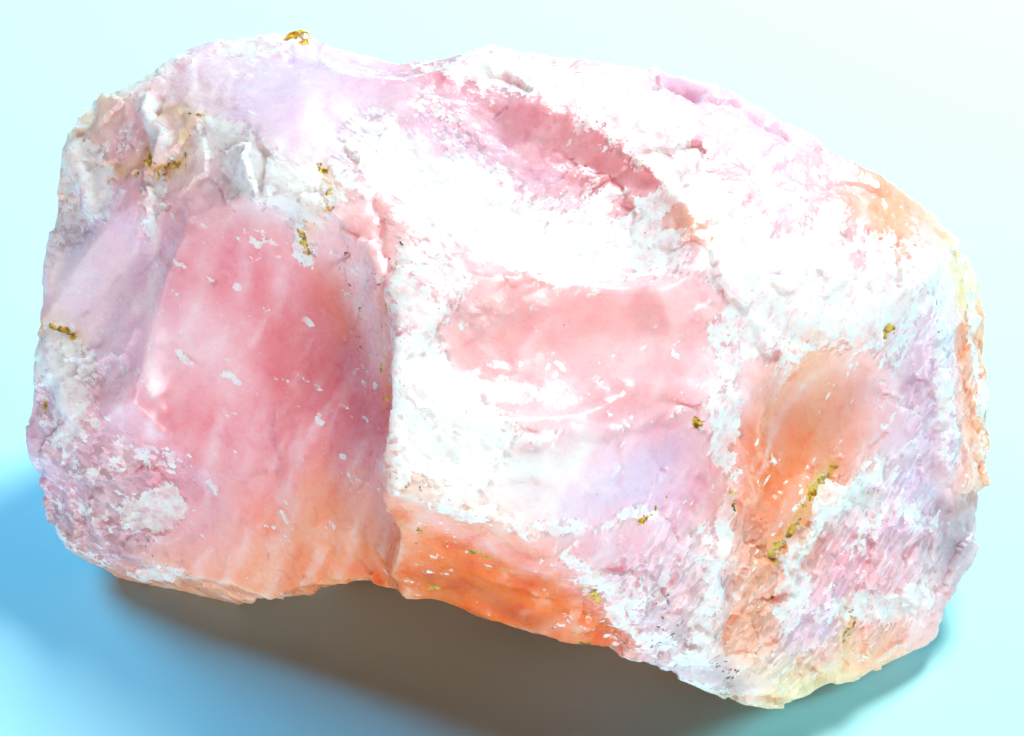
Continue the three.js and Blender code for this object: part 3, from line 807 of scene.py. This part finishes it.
def paint(mesh):
    points = read_points(mesh)
    ragged = warped(points, *SKIN_WARP)
    frost_and_glare = frost_and_glare_field(points)
    hackly = near_places(ragged, HACKLY)
    store(mesh, "tint", body_colour(points))
    store(mesh, "frost_and_glare", frost_and_glare)
    store(mesh, "stain", near_lines(warped(points, *STAIN_WARP), STAIN_LINES))
    store(mesh, "pits", near_lines(ragged, PIT_LINES))
    # sparkle: how many shards become white flecks painted as glints
    store(mesh, "sparkle", GLINT_FLECKS_ANYWHERE + GLINT_FLECKS_HACKLY * hackly + GLINT_FLECKS_IN_FROST_AND_GLARE * rise(0.1, 0.5, frost_and_glare))
    store(mesh, "glassy", near_places(ragged, GLASSY))


# ---- shader nodes ----

class Nodes:
    """Short names for the shader nodes that the stone's material is built from."""

    def __init__(self, name):
        self.material = bpy.data.materials.new(name)
        self.material.use_nodes = True
        self.tree = self.material.node_tree
        self.shader = self.tree.nodes["Principled BSDF"]
        self.position = self.add("ShaderNodeTexCoord").outputs["Object"]

    def add(self, kind, **settings):
        node = self.tree.nodes.new(kind)
        for key, value in settings.items():
            setattr(node, key, value)
        return node

    def feed(self, socket, value):
        if isinstance(value, bpy.types.NodeSocket):
            self.tree.links.new(value, socket)
        else:
            socket.default_value = value

    def attribute(self, name, output="Fac"):
        return self.add("ShaderNodeAttribute", attribute_name=name).outputs[output]

    def noise(self, per_metre, detail=3.0, roughness=0.5, where=None):
        node = self.add("ShaderNodeTexNoise")
        self.feed(node.inputs["Vector"], where or self.position)
        node.inputs["Scale"].default_value = per_metre
        node.inputs["Detail"].default_value = detail
        node.inputs["Roughness"].default_value = roughness
        return node.outputs["Fac"]

    def cells(self, per_metre, where):
        """A random number for each cell of a cracked pattern."""
        node = self.add("ShaderNodeTexVoronoi")
        self.feed(node.inputs["Vector"], where)
        node.inputs["Scale"].default_value = per_metre
        parts = self.add("ShaderNodeSeparateColor")
        self.feed(parts.inputs[0], node.outputs["Color"])
        return parts.outputs[0]

    def grey(self, value):
        node = self.add("ShaderNodeCombineColor")
        for socket in node.inputs:
            self.feed(socket, value)
        return node.outputs[0]

    def stretched(self, way, length):
        """Places squeezed along `way`, so that a pattern laid over them is drawn out along it."""
        along = self.add("ShaderNodeVectorMath", operation="DOT_PRODUCT")
        self.feed(along.inputs[0], self.position)
        along.inputs[1].default_value = way
        shift = self.add("ShaderNodeVectorMath", operation="SCALE")
        shift.inputs[0].default_value = way
        self.feed(shift.inputs["Scale"], self.math("MULTIPLY", along.outputs["Value"], 1 / length - 1))
        moved = self.add("ShaderNodeVectorMath", operation="ADD")
        self.feed(moved.inputs[0], self.position)
        self.feed(moved.inputs[1], shift.outputs["Vector"])
        return moved.outputs["Vector"]

    def math(self, operation, a, b=0.0):
        node = self.add("ShaderNodeMath", operation=operation)
        self.feed(node.inputs[0], a)
        self.feed(node.inputs[1], b)
        return node.outputs[0]

    def ramp(self, value, low, high, start=0.0, end=1.0):
        node = self.add("ShaderNodeMapRange", interpolation_type="SMOOTHSTEP")
        numbers = {"Value": value, "From Min": low, "From Max": high, "To Min": start, "To Max": end}
        for key, number in numbers.items():
            self.feed(node.inputs[key], number)
        return node.outputs["Result"]

    def blend(self, amount, a, b):
        """A number between a and b."""
        return self.math("ADD", a, self.math("MULTIPLY", amount, self.math("SUBTRACT", b, a)))

    def mix(self, amount, a, b, mode="MIX"):
        node = self.add("ShaderNodeMix", data_type="RGBA", blend_type=mode)
        sockets = [s for s in node.inputs if s.enabled]
        for socket, value in zip(sockets, (amount, a, b)):
            self.feed(socket, value)
        return next(s for s in node.outputs if s.enabled)

    def bump(self, height, strength, distance, under=None):
        node = self.add("ShaderNodeBump")
        self.feed(node.inputs["Height"], height)
        self.feed(node.inputs["Strength"], strength)
        node.inputs["Distance"].default_value = distance * MM
        if under is not None:
            self.feed(node.inputs["Normal"], under)
        return node.outputs["Normal"]


# ---- rose quartz ----

def left_to_right(n, left, right):
    """One pattern at the left of the stone and another at the right, as its grain turns."""
    place = n.add("ShaderNodeSeparateXYZ")
    n.feed(place.inputs[0], n.position)
    side = n.ramp(place.outputs["X"], -SIDE_BLEND, SIDE_BLEND)
    return n.blend(side, left, right)


def glancing_body(n, shard, sparkle):
    """The painted tint. Each shard catches the light a little differently where the stone is hackly."""
    glance = n.ramp(shard, 0.0, 1.0, *SHARD_SHADES)
    shade = n.mix(n.ramp(sparkle, 0.03, 0.10), (1, 1, 1, 1), n.grey(glance))
    return n.mix(1.0, n.attribute("tint", "Color"), shade, "MULTIPLY")


def white_cover(n, grain, speckle, splinter, shard, sparkle):
    """1 on white frost and painted glare, and on single white flecks painted as glints, with crisp ragged
    edges.
    """
    ragged = n.attribute("frost_and_glare")
    nibbles = ((grain, 0.25, 0.75, 0.34), (splinter, 0.3, 0.7, 0.26), (speckle, 0.3, 0.7, 0.14))
    for pattern, low, high, reach in nibbles:
        ragged = n.math("ADD", ragged, n.ramp(pattern, low, high, -reach, reach))
    crusted = n.ramp(ragged, 0.46, 0.54)
    broken = n.math("ADD", n.math("ADD", shard, sparkle), n.ramp(splinter, 0.3, 0.75, -0.16, 0.10))
    broken = n.math("ADD", broken, n.ramp(speckle, 0.35, 0.65, -0.08, 0.05))
    glint_fleck = n.ramp(broken, 0.985, 1.0)
    return n.math("MAXIMUM", crusted, glint_fleck)


def stained(n, colour, grain, speckle):
    """Ochre earth in the cracks."""
    amount = n.math("ADD", n.attribute("stain"), n.ramp(grain, 0.3, 0.7, 0.5, -0.5))
    earth = n.mix(n.ramp(speckle, 0.38, 0.62), DARK_OCHRE, PALE_OCHRE)
    return n.mix(n.ramp(amount, 0.50, 0.72), colour, earth)


def pitted(n, colour, speckle):
    """Dark pits, thickest near their lines."""
    amount = n.math("ADD", speckle, n.math("MULTIPLY", n.attribute("pits"), 0.16))
    return n.mix(n.ramp(amount, 0.74, 0.78), colour, PIT_COLOUR)


def chipped_normal(n, splinter):
    """Fine grain and splinters too small for the mesh, weaker where the stone is glassy."""
    glassy = n.attribute("glassy")
    fine = n.bump(n.noise(FINE_SCALE, 4, 0.62), n.ramp(glassy, 0, 1, 0.7, 0.25), FINE_BUMP)
    return n.bump(splinter, n.ramp(glassy, 0, 1, 0.5, 0.12), SPLINTER_BUMP, fine)


def rose_quartz():
    n = Nodes("rose_quartz")
    sparkle = n.attribute("sparkle")
    grain = n.noise(GRAIN_SCALE, 4, 0.68)
    speckle = n.noise(SPECKLE_SCALE, 3, 0.6)
    shards = [n.cells(SHARD_SCALE, n.stretched(way, SHARD_LENGTH)) for way in GRAIN_WAYS]
    shard = left_to_right(n, *shards)
    splinters = [n.noise(SPLINTER_SCALE, 3, 0.6, n.stretched(way, SPLINTER_LENGTH)) for way in GRAIN_WAYS]
    splinter = left_to_right(n, *splinters)

    colour = glancing_body(n, shard, sparkle)
    white = white_cover(n, grain, speckle, splinter, shard, sparkle)
    thickness = n.ramp(n.noise(CRUST_SCALE, 3, 0.75), 0.36, 0.62, *CRUST_COVER)
    colour = n.mix(n.math("MULTIPLY", white, thickness), colour, FROST_AND_GLARE_COLOUR)
    colour = stained(n, colour, grain, speckle)
    colour = pitted(n, colour, speckle)
    n.feed(n.shader.inputs["Base Color"], colour)

    roughness = n.ramp(white, 0, 1, ROSE_ROUGHNESS, FROST_AND_GLARE_ROUGHNESS)
    wear = n.ramp(grain, 0.3, 0.7, 0.75, 1.25)
    n.feed(n.shader.inputs["Roughness"], n.math("MULTIPLY", roughness, wear))
    n.feed(n.shader.inputs["Normal"], chipped_normal(n, splinter))
    n.shader.inputs["Subsurface Weight"].default_value = SCATTER_WEIGHT
    n.shader.inputs["Subsurface Radius"].default_value = SCATTER_RADIUS
    n.shader.inputs["Subsurface Scale"].default_value = SCATTER_DEPTH * MM
    n.shader.inputs["IOR"].default_value = QUARTZ_IOR
    return n.material


# ---- table, light and camera ----

def pale_table():
    rim = []
    for i in range(TABLE_SIDES):
        turn = math.tau * i / TABLE_SIDES
        rim.append((TABLE_RADIUS * math.cos(turn), TABLE_RADIUS * math.sin(turn), 0))
    mesh = bpy.data.meshes.new("table_top")
    mesh.from_pydata(rim, [], [range(TABLE_SIDES)])
    table = bpy.data.objects.new("table_top", mesh)
    bpy.context.scene.collection.objects.link(table)
    coat = bpy.data.materials.new("table_coat")
    coat.use_nodes = True
    look = coat.node_tree.nodes["Principled BSDF"]
    look.inputs["Base Color"].default_value = TABLE_COLOUR
    look.inputs["Roughness"].default_value = TABLE_ROUGHNESS
    mesh.materials.append(coat)
    return table


def pale_room():
    """A pale backdrop that is seen but gives no light, so the shadow stays deep."""
    world = bpy.data.worlds.new("pale_room")
    bpy.context.scene.world = world
    world.use_nodes = True
    background = world.node_tree.nodes["Background"]
    background.inputs["Color"].default_value = WALL_COLOUR
    background.inputs["Strength"].default_value = 1.0
    world.cycles_visibility.diffuse = False
    world.cycles_visibility.glossy = False
    world.cycles_visibility.transmission = False
    world.cycles_visibility.scatter = False


def soft_light(name, place, size, power, colour):
    """A round soft lamp at `place`, aimed at the stone."""
    data = bpy.data.lights.new(name, "AREA")
    data.shape = "DISK"
    data.size = size
    data.energy = power
    data.color = colour
    lamp = bpy.data.objects.new(name, data)
    lamp.location = place
    lamp.rotation_euler = (LIGHT_AIM - Vector(place)).to_track_quat("-Z", "Y").to_euler()
    bpy.context.scene.collection.objects.link(lamp)
    return lamp


def only_on(piece, lamp):
    """Keeps a lamp's light on one piece, as flags in front of the lamp would."""
    lit = bpy.data.collections.new("lit_by_" + lamp.name)
    lit.objects.link(piece)
    lamp.light_linking.receiver_collection = lit


def photo_camera():
    data = bpy.data.cameras.new("photo_camera")
    data.lens = LENS
    data.sensor_width = 36.0
    data.clip_start = 0.01
    data.clip_end = 10
    camera = bpy.data.objects.new("photo_camera", data)
    back = Vector((0, -math.cos(CAMERA_ELEVATION), math.sin(CAMERA_ELEVATION)))
    camera.location = CAMERA_AIM + back * CAMERA_DISTANCE
    camera.rotation_euler = (math.pi / 2 - CAMERA_ELEVATION, 0, 0)
    bpy.context.scene.collection.objects.link(camera)
    bpy.context.scene.camera = camera


stone = finer_stone()
carve(stone.data)
thin_out(stone)
write_points(stone.data, read_points(stone.data))
paint(stone.data)
stone.data.shade_smooth()
stone.data.set_sharp_from_angle(angle=CRISP_EDGE)
stone.data.materials.append(rose_quartz())

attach(stone, "root")
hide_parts(NODE)

table = pale_table()
pale_room()
for name, lights_up, place, size, power, colour in LAMPS:
    lamp = soft_light(name, place, size, power, colour)
    if lights_up == "stone":
        only_on(stone, lamp)
    elif lights_up == "table":
        only_on(table, lamp)
photo_camera()
bpy.context.scene.view_settings.view_transform = "Standard"
